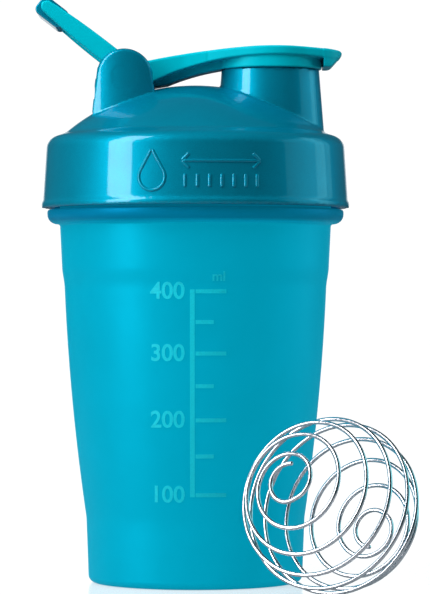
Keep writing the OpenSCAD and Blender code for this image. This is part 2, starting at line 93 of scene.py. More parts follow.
def cup_r(z):
    """Outer radius of the cup's body at height z: heel, bowed grip, soft step, straight top."""
    grip_r = neck_r - grip_inset
    if z < heel_h:
        return foot_r + heel_draft * z / heel_h
    if z < grip_h:
        t = (z - heel_h) / (grip_h - heel_h)
        start = foot_r + heel_draft
        return start + (grip_r - start) * t + 4 * grip_bow * t * (1 - t)
    t = min(1, (z - grip_h) / step_h)
    above = max(0, z - grip_h - step_h) / (body_h - grip_h - step_h)
    return grip_r + step_out * t * t * (3 - 2 * t) + (grip_inset - step_out) * above


print(f"cup radius at foot {cup_r(0):.4f}, at the bead {cup_r(body_h):.4f}")

# %% [markdown]
# ## Camera and light
# A bottle like this is shot with a long lens at table height. A tall soft box in front on the left
# draws the long streak on the lid, and a wide card with a narrow strip on the right draws its edge.
# Two lights above fill the top and are kept out of the gloss, which would show them as blots.
# Glossy plastic shows its lights, so their places matter more here than their strength. They could
# be emissive planes, but area lights give the same streaks with less noise.

# %% Camera
camera_side, camera_distance, camera_height = 6.35 * MM, 1.07, 92.6 * MM
camera_data = bpy.data.cameras.new("camera")
camera_data.sensor_width = 24
camera_data.lens = 132.7
camera = bpy.data.objects.new("camera", camera_data)
camera.location = (camera_side, -camera_distance, camera_height)
camera.rotation_euler = (math.pi / 2, 0, 0)
bpy.context.scene.collection.objects.link(camera)
bpy.context.scene.camera = camera
bpy.context.scene.view_settings.view_transform = "Standard"
print("camera height", round(camera.location.z, 4))


# %% Soft boxes
aim_height = 0.12
teal_card = (0.3, 0.95, 1.0)


def soft_box(name, bearing, distance, height, width, tall, power, mirrored=True):
    """An area light at a bearing in degrees from the camera's side, turned to the bottle."""
    data = bpy.data.lights.new(name, "AREA")
    data.shape = "RECTANGLE"
    data.size, data.size_y = width, tall
    data.energy = power
    light = bpy.data.objects.new(name, data)
    angle = math.radians(bearing)
    light.location = (distance * math.sin(angle), -distance * math.cos(angle), height)
    aim = -light.location
    aim.z += aim_height
    light.rotation_euler = aim.to_track_quat("-Z", "Y").to_euler()
    light.visible_camera = False
    light.visible_glossy = mirrored
    bpy.context.scene.collection.objects.link(light)
    return light


soft_box("left_box", -58, 0.9, 0.46, 0.34, 1.35, 11)
soft_box("right_card", 98, 0.9, 0.25, 0.9, 1.0, 2.4).data.color = teal_card
soft_box("right_strip", 109, 0.8, 0.25, 0.18, 1.0, 0.6).data.color = teal_card
soft_box("top_left", -64, 0.6, 1.0, 0.4, 0.5, 4, mirrored=False)
soft_box("top_front", 15, 0.5, 1.0, 0.8, 0.6, 6, mirrored=False)

# %% [markdown]
# The rest of the studio is dim, which gives the lid its dark middle and the wire its black lines.
# Only a low panel straight behind the bottle is lit, so that the floor mirrors white at a glancing
# angle. What the camera sees directly is plain white.

# %% Studio surroundings
world = bpy.data.worlds.new("studio")
bpy.context.scene.world = world
world.use_nodes = True
sky = world.node_tree
sky.nodes.clear()


def sky_step(source, start, end, low, high):
    """A smooth step of brightness over one component of the direction."""
    node = sky.nodes.new("ShaderNodeMapRange")
    node.interpolation_type = "SMOOTHSTEP"
    for socket, value in zip(("From Min", "From Max", "To Min", "To Max"), (start, end, low, high)):
        node.inputs[socket].default_value = value
    sky.links.new(source, node.inputs["Value"])
    return node.outputs[0]


def sky_math(operation, a, b):
    node = sky.nodes.new("ShaderNodeMath")
    node.operation = operation
    for socket, value in zip(node.inputs, (a, b)):
        if isinstance(value, float):
            socket.default_value = value
        else:
            sky.links.new(value, socket)
    return node.outputs[0]


direction = sky.nodes.new("ShaderNodeTexCoord")
split = sky.nodes.new("ShaderNodeSeparateXYZ")
sky.links.new(direction.outputs["Generated"], split.inputs[0])
behind = sky_step(split.outputs["Y"], 0.94, 0.98, 0.0, 1.0)
low_down = sky_step(sky_math("ABSOLUTE", split.outputs["Z"], 0.0), 0.12, 0.2, 1.0, 0.0)
dim = sky_step(split.outputs["Y"], -0.5, 0.6, 0.06, 0.1)


def glow(color, strength):
    node = sky.nodes.new("ShaderNodeBackground")
    node.inputs["Color"].default_value = (*color, 1)
    if isinstance(strength, float):
        node.inputs["Strength"].default_value = strength
    else:
        sky.links.new(strength, node.inputs["Strength"])
    return node.outputs[0]


both = sky.nodes.new("ShaderNodeAddShader")
sky.links.new(glow((0.5, 0.9, 1.0), dim), both.inputs[0])
sky.links.new(glow((1, 1, 1), sky_math("MULTIPLY", behind, low_down)), both.inputs[1])
path = sky.nodes.new("ShaderNodeLightPath")
mix = sky.nodes.new("ShaderNodeMixShader")
out = sky.nodes.new("ShaderNodeOutputWorld")
sky.links.new(path.outputs["Is Camera Ray"], mix.inputs[0])
sky.links.new(both.outputs[0], mix.inputs[1])
sky.links.new(glow((1, 1, 1), 1.05), mix.inputs[2])
sky.links.new(mix.outputs[0], out.inputs[0])
print("surroundings: dim room, one lit panel behind")


# %% Helpers for materials
FINISH = {}


def new_material(name, color, roughness, **sockets):
    """A material with one Principled shader. Constants go straight on the shader's own sockets."""
    material = bpy.data.materials.new(name)
    material.use_nodes = True
    shader = material.node_tree.nodes["Principled BSDF"]
    shader.inputs["Base Color"].default_value = (*color, 1)
    shader.inputs["Roughness"].default_value = roughness
    for socket, value in sockets.items():
        shader.inputs[socket.replace("_", " ")].default_value = value
    print(f"{name}: base colour {color}, roughness about {roughness}")
    return material, material.node_tree, shader


def grain(tree, scale, detail=2.0, kind="ShaderNodeTexNoise"):
    """Noise that is fixed to the object's own space, at a scale in cells per metre."""
    place = tree.nodes.new("ShaderNodeTexCoord")
    texture = tree.nodes.new(kind)
    texture.inputs["Scale"].default_value = scale
    if "Detail" in texture.inputs:
        texture.inputs["Detail"].default_value = detail
    tree.links.new(place.outputs["Object"], texture.inputs["Vector"])
    return texture


def ramp(tree, source, low, high, from_low=0.3, from_high=0.7):
    """A number that runs from low to high as source runs from from_low to from_high."""
    node = tree.nodes.new("ShaderNodeMapRange")
    node.inputs["From Min"].default_value = from_low
    node.inputs["From Max"].default_value = from_high
    node.inputs["To Min"].default_value = low
    node.inputs["To Max"].default_value = high
    tree.links.new(source, node.inputs["Value"])
    return node.outputs[0]


def tint(tree, shader, factor, color_a, color_b, socket="Base Color"):
    """The shader's colour, mixed between two colours by factor."""
    node = tree.nodes.new("ShaderNodeMix")
    node.data_type = "RGBA"
    tree.links.new(factor, node.inputs["Factor"])
    node.inputs["A"].default_value = (*color_a, 1)
    node.inputs["B"].default_value = (*color_b, 1)
    tree.links.new(node.outputs["Result"], shader.inputs[socket])


def bump(tree, shader, height, strength, distance):
    """Fine relief from a height."""
    node = tree.nodes.new("ShaderNodeBump")
    node.inputs["Strength"].default_value = strength
    node.inputs["Distance"].default_value = distance
    tree.links.new(height, node.inputs["Height"])
    tree.links.new(node.outputs["Normal"], shader.inputs["Normal"])


# %% [markdown]
# ## Frosted plastic of the cup
# Frosted polypropylene lets light in and spreads it inside the wall, so the cup glows where a
# strong light enters it. Subsurface scattering with a radius near the wall's thickness does that.
# Light also bounces about in the hollow cup before it comes out. Real transmission would show this,
# but it is noisy and slow, so a faint glow of the material's own stands in for it.


# %% Frosted cup plastic
def band_mask(tree, low, high, soft):
    """One between two levels of the object's own space and zero outside, with soft ends."""
    place = tree.nodes.new("ShaderNodeTexCoord")
    split = tree.nodes.new("ShaderNodeSeparateXYZ")
    both = tree.nodes.new("ShaderNodeMath")
    both.operation = "MULTIPLY"
    tree.links.new(place.outputs["Object"], split.inputs[0])
    tree.links.new(ramp(tree, split.outputs["Z"], 0, 1, low, low + soft), both.inputs[0])
    tree.links.new(ramp(tree, split.outputs["Z"], 1, 0, high, high + soft), both.inputs[1])
    return both.outputs[0]


def frosted_plastic():
    """A painted glow stands in for light bounced inside the hollow cup. The thick bead gets painted
    shade: a darker colour and a weaker glow.
    """
    material, tree, shader = new_material(
        "frosted_plastic", (0.0, 0.215, 0.32), 0.42, Metallic=0.35,
        Subsurface_Weight=0.5, Subsurface_Scale=0.003, Specular_IOR_Level=0.1)
    shader.inputs["Subsurface Radius"].default_value = (0.3, 0.8, 1.0)
    shader.inputs["Specular Tint"].default_value = (0.05, 0.75, 1.0, 1)
    # Painted glow: the emission stands in for light bounced about inside the hollow cup.
    shader.inputs["Emission Color"].default_value = (0.0, 0.225, 0.32, 1)
    cloud = grain(tree, 60, 3)
    tint(tree, shader, ramp(tree, cloud.outputs["Fac"], 0, 1), (0.0, 0.205, 0.305), (0.0, 0.225, 0.335))
    body = shader.inputs["Base Color"].links[0].from_socket
    # Painted shade on the bead: a darker base colour and less glow, where the lid shades the inside and
    # the wall is thick.
    bead = band_mask(tree, body_h - 0.6 * MM, bead_top, 1.8 * MM)
    shaded = tree.nodes.new("ShaderNodeMix")
    shaded.data_type = "RGBA"
    shaded.inputs["B"].default_value = (0.0, 0.145, 0.315, 1)
    tree.links.new(bead, shaded.inputs["Factor"])
    tree.links.new(body, shaded.inputs["A"])
    tree.links.new(shaded.outputs["Result"], shader.inputs["Base Color"])
    tree.links.new(ramp(tree, bead, 1, 0.38, 0, 1), shader.inputs["Emission Strength"])
    frost = grain(tree, 2600, 2)
    tree.links.new(ramp(tree, frost.outputs["Fac"], 0.36, 0.5), shader.inputs["Roughness"])
    bump(tree, shader, frost.outputs["Fac"], 0.12, 0.05 * MM)
    return material


FINISH["cup"] = frosted_plastic()

# %% [markdown]
# ## Glossy and satin plastics
# The lid's plastic holds pearl flakes, which mirror light in many slightly different directions
# under a clear gloss. Flakes could be drawn one by one, but they are too fine to be seen singly, so
# the base is part metallic, a fine noise varies its colour, and a coat lies over it. Cap and loop
# are plain satin plastic without a coat.


# %% Pearl lid plastic
def pearl_plastic():
    material, tree, shader = new_material(
        "pearl_plastic", (0.0, 0.29, 0.42), 0.46, Metallic=0.6, Coat_Weight=0.6,
        Coat_Roughness=0.06, Specular_IOR_Level=0.1)
    shader.inputs["Specular Tint"].default_value = (0.05, 0.75, 1.0, 1)
    flake = grain(tree, 5200, 1)
    tint(tree, shader, ramp(tree, flake.outputs["Fac"], 0, 1), (0.0, 0.255, 0.4), (0.0, 0.33, 0.49))
    bump(tree, shader, flake.outputs["Fac"], 0.22, 0.06 * MM)
    worn = grain(tree, 90, 4)
    tree.links.new(ramp(tree, worn.outputs["Fac"], 0.42, 0.5), shader.inputs["Roughness"])
    return material


FINISH["lid"] = pearl_plastic()


# %% Satin cap plastic
def satin_plastic():
    material, tree, shader = new_material(
        "satin_plastic", (0.0, 0.47, 0.58), 0.4, Specular_IOR_Level=0.2)
    shader.inputs["Specular Tint"].default_value = (0.1, 0.8, 1.0, 1)
    flow = grain(tree, 130, 4)
    tint(tree, shader, ramp(tree, flow.outputs["Fac"], 0, 1), (0.0, 0.455, 0.56), (0.0, 0.49, 0.6))
    skin_grain = grain(tree, 3400, 2)
    tree.links.new(ramp(tree, skin_grain.outputs["Fac"], 0.35, 0.47), shader.inputs["Roughness"])
    bump(tree, shader, skin_grain.outputs["Fac"], 0.1, 0.04 * MM)
    return material


FINISH["cap"] = satin_plastic()

# %% [markdown]
# ## Steel, rubber and ink
# The ball is polished stainless wire and the pin a duller rod: drawing leaves fine streaks, so noise
# varies their roughness. Seal and stopper are soft rubber, which scatters a little light. The ink is
# a flat colour, lighter than the cup. Image textures would do as well but would need fitted seams.


# %% Wire, pin, seal, plug and print
def drawn_steel(name, color, roughness, darker, lighter, scale, detail):
    """Bare metal. darker and lighter are (colour, roughness) pairs that fine noise runs between."""
    material, tree, shader = new_material(name, color, roughness, Metallic=1.0)
    drawn = grain(tree, scale, detail)
    tree.links.new(ramp(tree, drawn.outputs["Fac"], darker[1], lighter[1]), shader.inputs["Roughness"])
    tint(tree, shader, ramp(tree, drawn.outputs["Fac"], 0, 1), darker[0], lighter[0])
    return material


def soft_rubber(name, color, darker):
    material, tree, shader = new_material(
        name, color, 0.55, Subsurface_Weight=0.4, Subsurface_Scale=0.002)
    cloud = grain(tree, 300, 3)
    tint(tree, shader, ramp(tree, cloud.outputs["Fac"], 0, 1), darker, color)
    bump(tree, shader, grain(tree, 3000, 2).outputs["Fac"], 0.1, 0.05 * MM)
    return material


def screen_ink():
    material, tree, shader = new_material("screen_ink", (0.0, 0.62, 0.76), 0.5, Specular_IOR_Level=0.3)
    mesh_grain = grain(tree, 2400, 2)
    tint(tree, shader, ramp(tree, mesh_grain.outputs["Fac"], 0, 1), (0.0, 0.58, 0.72), (0.0, 0.66, 0.8))
    bump(tree, shader, mesh_grain.outputs["Fac"], 0.08, 0.03 * MM)
    return material


FINISH["wire"] = drawn_steel("bright_steel", (0.82, 0.81, 0.86), 0.2, ((0.78, 0.77, 0.82), 0.15),
                             ((0.86, 0.85, 0.9), 0.25), 900, 3)
FINISH["pin"] = drawn_steel("pin_steel", (0.66, 0.67, 0.68), 0.28, ((0.6, 0.61, 0.62), 0.2),
                            ((0.7, 0.71, 0.72), 0.38), 1500, 4)
FINISH["ink"] = screen_ink()
FINISH["seal"] = soft_rubber("silicone", (0.8, 0.85, 0.86), (0.74, 0.8, 0.82))
FINISH["plug"] = soft_rubber("stopper_rubber", (0.35, 0.72, 0.78), (0.3, 0.66, 0.73))

# %% [markdown]
# ## The floor
# A studio floor is a sheet of pale, slightly shiny board. A big disc with a faint mirror finish does
# for it. If it were as white to the bottle as to the camera, it would light the cap from below, so
# rays that don't come from the camera meet a dull grey board instead.


# %% Floor
floor_r = 6.0
below_feet = 0.1 * MM


def paper_floor():
    """White board for the camera. To everything else it is dull grey, so that it doesn't light the
    bottle from below."""
    material, tree, shader = new_material(
        "paper_floor", (0.24, 0.245, 0.25), 0.2, Specular_IOR_Level=0.25)
    shader.inputs["Emission Color"].default_value = (1, 1, 1, 1)
    shader.inputs["Emission Strength"].default_value = 0.58
    fibre = grain(tree, 700, 3)
    tree.links.new(ramp(tree, fibre.outputs["Fac"], 0.16, 0.24), shader.inputs["Roughness"])
    dull = tree.nodes.new("ShaderNodeBsdfDiffuse")
    dull.inputs["Color"].default_value = (0.3, 0.31, 0.32, 1)
    seen = tree.nodes.new("ShaderNodeLightPath")
    either = tree.nodes.new("ShaderNodeMixShader")
    tree.links.new(seen.outputs["Is Camera Ray"], either.inputs[0])
    tree.links.new(dull.outputs[0], either.inputs[1])
    tree.links.new(shader.outputs[0], either.inputs[2])
    tree.links.new(either.outputs[0], tree.nodes["Material Output"].inputs["Surface"])
    return material


def flat_disc(radius, sides=96):
    data = bpy.data.meshes.new("floor")
    ring = [(radius * math.cos(a), radius * math.sin(a), 0)
            for a in np.linspace(0, 2 * math.pi, sides, endpoint=False)]
    data.from_pydata(ring, [], [list(range(sides))])
    return data


floor = bpy.data.objects.new("floor", flat_disc(floor_r))
floor.location.z = -below_feet
floor.data.materials.append(paper_floor())
bpy.context.scene.collection.objects.link(floor)
print("floor radius", floor_r)


# %% [markdown]
# ## Two ways of making a moulding
# Cup, seal, plug and pin are round, so they are turned: an outline with rounded corners is spun
# round an axis. The lid, cap, loop and grip blend shapes into each other, which spinning can't do.
# They are described by a field, a function that is negative inside the plastic and zero on its
# skin. Fields are easy to join, cut and round, and a mesh is then wrapped over the zero surface.


# %% Rounded outlines
def rounded(corners, bend=6):
    """A closed outline through (across, up, radius) corners, each rounded to its radius."""
    points = []
    for i, (x, z, radius) in enumerate(corners):
        here = np.array([x, z])
        if radius <= 0:
            points.append(here)
            continue
        back = np.array(corners[i - 1][:2]) - here
        ahead = np.array(corners[(i + 1) % len(corners)][:2]) - here
        back, ahead = back / np.linalg.norm(back), ahead / np.linalg.norm(ahead)
        half = math.acos(np.clip(back @ ahead, -1, 1)) / 2
        centre = here + (back + ahead) / np.linalg.norm(back + ahead) * radius / math.sin(half)
        start = here + back * radius / math.tan(half) - centre
        end = here + ahead * radius / math.tan(half) - centre
        sweep = math.atan2(start[0] * end[1] - start[1] * end[0], start @ end)
        for k in range(bend + 1):
            c, s = math.cos(sweep * k / bend), math.sin(sweep * k / bend)
            points.append(centre + np.array([c * start[0] - s * start[1], s * start[0] + c * start[1]]))
    return np.array(points)


square = [(0, 0, 1), (4, 0, 1), (4, 4, 1), (0, 4, 1)]
print("points in a square with round corners:", len(rounded(square)))


# %% Turning an outline into a mesh
def add_piece(name, vertices, faces, finish, body, node=None):
    """A smooth mesh object with a finish, riding on a CAD body and standing for a CAD node."""
    data = bpy.data.meshes.new(name)
    data.from_pydata(np.asarray(vertices).tolist(), [], faces)
    data.validate()
    data.polygons.foreach_set("use_smooth", [True] * len(data.polygons))
    data.materials.append(FINISH[finish])
    piece = bpy.data.objects.new(name, data)
    bpy.context.scene.collection.objects.link(piece)
    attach(piece, body)
    if node:
        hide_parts(node)
    print(f"{name}: {len(data.vertices)} points, {len(data.polygons)} faces")
    return piece


def even_normals(piece):
    """Large faces lead the shading, so flats stay flat and only the rounded corners curve."""
    modifier = piece.modifiers.new("even_normals", "WEIGHTED_NORMAL")
    modifier.weight = 50
    return piece


def turned(outline, sides, relief=None):
    """Vertices and faces of a closed outline spun round Z. relief(angle, r, z) adds to the radius."""
    angles = np.linspace(0, 2 * math.pi, sides, endpoint=False)
    on_axis = np.abs(outline[:, 0]) < 1e-9
    vertices, rows = [], []
    for (r, z), axis in zip(outline, on_axis):
        first = len(vertices)
        if axis:
            vertices.append((0, 0, z))
            rows.append([first] * sides)
            continue
        radii = np.full(sides, r) + (relief(angles, r, z) if relief else 0)
        vertices.extend(zip(radii * np.cos(angles), radii * np.sin(angles), np.full(sides, z)))
        rows.append(list(range(first, first + sides)))
    faces = []
    for low, high in zip(rows, rows[1:] + rows[:1]):
        for i in range(sides):
            j = (i + 1) % sides
            corners = [low[i], low[j], high[j], high[i]]
            corners = [c for k, c in enumerate(corners) if c not in corners[:k]]
            if len(corners) > 2:
                faces.append(corners)
    return np.array(vertices), faces


# %% [markdown]
# ## The cup
# The cup is one moulding. Its wall is thin and even, it bows out a little where the hand holds it,
# steps out softly below the lid, and ends in a rounded bead and a neck with a two-start thread.
# The thread is a relief on the neck: the closer a point is to the helix, the further it stands out.

# %% Screw thread as a relief
lead, starts, thread_turns = 8 * MM, 2, 0.9
thread_depth, root_w, crest_w = 1.7 * MM, 2 * MM, 1.1 * MM
thread_z = bead_top + 6 * MM


def ease(t):
    t = np.clip(t, 0, 1)
    return t * t * (3 - 2 * t)


def thread_height(angle, z, start_z):
    """Height of the thread above its wall at an angle and a level, both starts together."""
    height = 0
    for k in range(starts):
        turn = np.mod(angle / (2 * math.pi) - k / starts, 1)
        for lap in (0, 1):
            along = turn + lap
            near = np.abs(z - start_z - lead * along)
            flank = ease((root_w / 2 + 0.15 * MM - near) / ((root_w - crest_w) / 2 + 0.3 * MM))
            fade = ease(along / 0.07) * ease((thread_turns - along) / 0.07)
            height = np.maximum(height, flank * fade)
    return thread_depth * height


crest = thread_height(math.pi, thread_z + lead / 2, thread_z)
print(f"the thread's crest stands {crest:.4f} off the wall, half a turn from its start")


# %% Cup outline and mesh
foot_ring, recess, pad_r, inner_round = 5 * MM, 1.2 * MM, 8 * MM, 5 * MM
neck_in = neck_r - neck_wall


def cup_outline():
    levels = [*np.linspace(heel_h * 0.35, heel_h, 5)[:-1], *np.linspace(heel_h, grip_h, 34)[:-1],
              *np.linspace(grip_h, grip_h + step_h, 9), body_h - 4 * MM]
    wall_out = [(cup_r(z), z, 0) for z in levels]
    neck_rows = [(neck_r, z, 0) for z in np.arange(bead_top + 1 * MM, cup_top - 1 * MM, 0.4 * MM)]
    wall_in = [(cup_r(z) - cup_wall, z, 0) for z in reversed(levels[3:])]
    return rounded([
        (0, 0, 0), (pad_r, 0, 0.4 * MM), (pad_r + recess, recess, 0.5 * MM),
        (foot_r - foot_ring - recess, recess, 0.5 * MM), (foot_r - foot_ring, 0, 0.4 * MM),
        (cup_r(0) + 0.05 * MM, 0, 2.4 * MM), *wall_out,
        (cup_r(body_h), body_h, 0.9 * MM), (neck_r + bead_out, body_h, 3.1 * MM),
        (neck_r + bead_out, bead_top, 0.9 * MM), (neck_r, bead_top, 0.5 * MM), *neck_rows,
        (neck_r, cup_top, 0.5 * MM), (neck_in, cup_top, 0.5 * MM),
        (neck_in, body_h + bead_h / 2, 4 * MM), *wall_in,
        (cup_r(0) - cup_wall, floor_t, inner_round), (0, floor_t, 0)])


def neck_relief(angle, r, z):
    on_neck = abs(r - neck_r) < 1e-6 and bead_top + 0.8 * MM < z < cup_top - 0.8 * MM
    return thread_height(angle, z, thread_z) if on_neck else 0


points, faces = turned(cup_outline(), 224, neck_relief)
even_normals(add_piece("cup_body", points, faces, "cup", "cup", "cup"))

# %% [markdown]
# ## Fields and the skin over them
# Two fields join with min and overlap with max. Adding a circle's arc at the seam rounds the edge, as
# a mould maker's cutter would. The skin is a surface net: one point in each grid cell that the
# surface crosses, joined to its neighbours, then pulled onto the zero surface along the field's
# slope. The slope is also the exact normal, so even a coarse net reflects like turned plastic.


# %% Joining and rounding fields
def join(a, b, radius=0.5 * MM):
    """Union of two fields with a fillet where they meet."""
    arc = np.hypot(np.maximum(radius - a, 0), np.maximum(radius - b, 0))
    return np.maximum(radius, np.minimum(a, b)) - arc


def overlap(a, b, radius=0.5 * MM):
    """Intersection of two fields with a rounded edge."""
    arc = np.hypot(np.maximum(radius + a, 0), np.maximum(radius + b, 0))
    return np.minimum(-radius, np.maximum(a, b)) + arc


def cut(a, b, radius=0.4 * MM):
    """Field a with field b taken away, its new edges rounded."""
    return overlap(a, -b, radius)


def slab(v, low, high):
    """The space between two parallel planes."""
    return np.abs(v - (low + high) / 2) - (high - low) / 2


print(f"a 1 mm round takes {overlap(0.0, 0.0, 1 * MM):.5f} off a square corner")


# %% The skin over a field
def net_of(field, low, high, cell):
    """Points and quads of a surface net over the zero surface of a field."""
    axes = [np.arange(first - 2 * cell, last + 2 * cell, cell) for first, last in zip(low, high)]
    value = field(*np.meshgrid(*axes, indexing="ij"))
    solid = value < 0
    size = np.array(value.shape) - 1
    total, count = np.zeros((*size, 3)), np.zeros(size)
    crossings = []
    for axis in range(3):
        near = [slice(None)] * 3
        far = [slice(None)] * 3
        near[axis], far[axis] = slice(None, -1), slice(1, None)
        near, far = tuple(near), tuple(far)
        crossed = solid[near] != solid[far]
        at = np.argwhere(crossed)
        crossings.append((axis, at, solid[near][crossed]))
        share = value[near][crossed] / (value[near][crossed] - value[far][crossed])
        where = at.astype(float)
        where[:, axis] += share
        others = [k for k in range(3) if k != axis]
        for da in (0, 1):
            for db in (0, 1):
                owner = at.copy()
                owner[:, others[0]] -= da
                owner[:, others[1]] -= db
                keep = ((owner >= 0) & (owner < size)).all(1)
                np.add.at(total, tuple(owner[keep].T), where[keep])
                np.add.at(count, tuple(owner[keep].T), 1)
    used = count > 0
    number = np.full(size, -1)
    number[used] = np.arange(used.sum())
    points = total[used] / count[used][:, None] * cell + np.array([a[0] for a in axes])
    quads = []
    for axis, at, first_solid in crossings:
        u, v = [k for k in range(3) if k != axis]
        ring = []
        for du, dv in ((1, 1), (0, 1), (0, 0), (1, 0)):
            owner = at.copy()
            owner[:, u] -= du
            owner[:, v] -= dv
            ring.append(number[tuple(owner.T)])
        ring = np.array(ring).T
        flip = first_solid if axis != 1 else ~first_solid
        ring[~flip] = ring[~flip][:, ::-1]
        quads.append(ring)
    return points, np.concatenate(quads)


# %% Slope of a field
def slope(field, points, h=0.02 * MM):
    """The field's gradient at points, by differences."""
    columns = []
    for axis in range(3):
        shift = np.zeros(3)
        shift[axis] = h
        columns.append((field(*(points + shift).T) - field(*(points - shift).T)) / (2 * h))
    return np.array(columns).T


steep = slope(lambda x, y, z: np.hypot(x, y), np.array([[3 * MM, 4 * MM, 0]]))[0]
print("slope of a round post's field:", [round(float(v), 3) for v in steep])


# %% A piece with a skin
def skinned(name, field, low, high, cell, finish, body, node=None):
    """A piece whose mesh lies on a field's zero surface, with the field's slope as its normals."""
    points, quads = net_of(field, low, high, cell)
    for _ in range(4):
        g = slope(field, points)
        step = (field(*points.T) / np.maximum((g * g).sum(1), 0.2))[:, None] * g
        points -= np.clip(step, -0.5 * cell, 0.5 * cell)
    piece = add_piece(name, points, quads.tolist(), finish, body, node)
    normals = slope(field, points, 0.05 * MM)
    normals /= np.maximum(np.linalg.norm(normals, axis=1), 1e-9)[:, None]
    piece.data.normals_split_custom_set_from_vertices(normals)
    return piece


# %% [markdown]
# ## The lid
# The lid is one glossy moulding. A tapered skirt rounds over into a narrow ledge, and a dome rises
# from it. The drinking spout and the two cheeks of the hinge tower stand on the dome and meet it in a
# crisp line, so their fillets are small. Inside are a thread, a flange that centres the lid in the
# neck, and the spout's bore. A boolean of separate meshes would leave ragged seams in the gloss.

# %% Sizes of the lid
# fit is the gap left between pieces that touch, and sunk is how far spout and tower reach below the
# ledge, into the dome.
fit, wall_play = 0.05 * MM, 0.7 * MM
lid_in = neck_r + thread_depth + wall_play
skirt_wall, skirt_h, flare = 1.95 * MM, 19.5 * MM, 1.25 * MM
lip_out, lip_h, shoulder = 0.35 * MM, 2.2 * MM, 4 * MM
ledge_w, dome_rise, dome_wall = 1.05 * MM, 16.4 * MM, 2 * MM
lid_top = lid_in + skirt_wall
shoulder_z = rim_z + skirt_h
ledge_z = shoulder_z + shoulder
roof_z = seal_high.z + fit
flange_r = neck_in - 0.4 * MM
flange_wall, flange_z = 1.8 * MM, roof_z - 5 * MM
dome_edge = lid_top - shoulder - ledge_w
dome_r = (dome_edge ** 2 + dome_rise ** 2) / (2 * dome_rise)
dome_z = ledge_z + dome_rise - dome_r
spout_r, spout_rise, spout_lean = 15.9 * MM, 5.1 * MM, math.radians(4.6)
spout_z = ledge_z + dome_rise + spout_rise
spout_top = spout_z + 3 * MM
rim_r = spout_r - 0.8 * MM
bore_r, bore_h, spout_wall = rim_r - 1.9 * MM, 8 * MM, 2.2 * MM
foot_of_spout = spout_r + (spout_z - ledge_z) * math.tan(spout_lean)
tower_r, tower_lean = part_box("lid")[1].z - pivot_z, math.radians(8.5)
cheek_t, cheek_plan_r = 3.4 * MM, 19.5 * MM
cheek_y = tower_y - cheek_t
sink_r, sink_edge, sink_depth = 4.6 * MM, 0.9 * MM, 0.05 * MM
sunk = 2 * MM
pin_r = (pin_high.z - pin_low.z) / 2
print(f"dome radius {dome_r:.4f}, spout top {spout_top:.4f}, tower radius {tower_r:.4f}")


# %% Skirt and dome
def lid_shell(r, z):
    """Skirt, shoulder, ledge and dome, with a lip round the rim."""
    skirt = r - lid_top - flare * np.clip((shoulder_z - z) / skirt_h, -0.3, 1.2)
    shell = overlap(skirt, z - ledge_z, shoulder)
    dome = np.maximum(np.hypot(r, z - dome_z) - dome_r, ledge_z - sunk - z)
    shell = join(shell, dome, 1.5 * MM)
    lip = overlap(r - lid_top - flare - lip_out, z - rim_z - lip_h, 0.9 * MM)
    return overlap(join(shell, lip, 0.5 * MM), rim_z - z, 0.6 * MM)


print(f"skirt radius {lid_top + flare:.4f} at the rim, dome top at z {dome_z + dome_r:.4f}")


# %% Spout and hinge tower
def spout(x, y, z):
    """The tapered spout, with the narrower rim that the cap snaps over."""
    from_spout = np.hypot(x - spout_x, y)
    wall = (from_spout - spout_r - (spout_z - z) * math.tan(spout_lean)) * math.cos(spout_lean)
    body = np.maximum(overlap(wall, z - spout_z, 0.35 * MM), ledge_z - sunk - z)
    rim = np.maximum(overlap(from_spout - rim_r, z - spout_top, 0.7 * MM), ledge_z - z)
    return join(body, rim, 0.25 * MM)


def tower_profile(x, z):
    """Side view of a cheek: a round top whose tangents lean out towards the dome."""
    across, up = np.abs(x - pivot_x), z - pivot_z
    c, s = math.cos(tower_lean), math.sin(tower_lean)
    over_tangent = up * c - across * s > 0
    return np.where(over_tangent, np.hypot(across, up) - tower_r, across * c + up * s - tower_r)


def cheeks(x, y, z):
    """Both cheeks, bowed in plan, each with a very shallow round sink over the pin's end."""
    sink = sink_depth * ease((sink_r - np.hypot(x - pivot_x, z - pivot_z)) / sink_edge)
    bowed = np.hypot(x - pivot_x, np.abs(y) - tower_y + cheek_plan_r) - cheek_plan_r
    cheek = overlap(tower_profile(x, z), bowed + sink, 1.1 * MM)
    cheek = overlap(cheek, cheek_y - np.abs(y), 0.4 * MM)
    return np.maximum(cheek, ledge_z - sunk - z)


# %% Inside of the lid
def lid_inside(x, y, z):
    """The space inside the lid: skirt, dome and spout."""
    r = np.hypot(x, y)
    skirt = overlap(r - lid_in, z - roof_z, 0.5 * MM)
    thread = thread_height(np.arctan2(y, x), z, thread_z - lead / starts / 2)
    skirt = np.maximum(skirt, r - lid_in + thread)
    flange = overlap(slab(r, flange_r - flange_wall, flange_r), flange_z - z, 0.5 * MM)
    skirt = cut(skirt, flange, 0.3 * MM)
    dome = overlap(np.hypot(r, z - dome_z) - dome_r + dome_wall, r - flange_r + flange_wall, 1.2 * MM)
    from_spout = np.hypot(x - spout_x, y)
    widening = np.clip((spout_top - bore_h - z) / (spout_top - bore_h - ledge_z), 0, 1)
    bore = from_spout - bore_r - (foot_of_spout - spout_wall - bore_r) * widening
    bore = np.maximum(bore, ledge_z - 1.5 * sunk - z)
    return np.minimum(join(skirt, dome, 0.4 * MM), bore)


# %% The lid itself
def lid_field(x, y, z):
    outside = join(lid_shell(np.hypot(x, y), z), spout(x, y, z), 0.5 * MM)
    outside = join(outside, cheeks(x, y, z), 0.5 * MM)
    moulding = cut(outside, lid_inside(x, y, z), 0.45 * MM)
    axle = np.hypot(x - pivot_x, z - pivot_z) - pin_r - fit
    return np.maximum(moulding, -np.maximum(axle, np.abs(y) - pin_high.y - fit))


lid_low, lid_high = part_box("lid")
skinned("lid_shell", lid_field, lid_low, lid_high, 0.72 * MM, "lid", "lid", "lid")

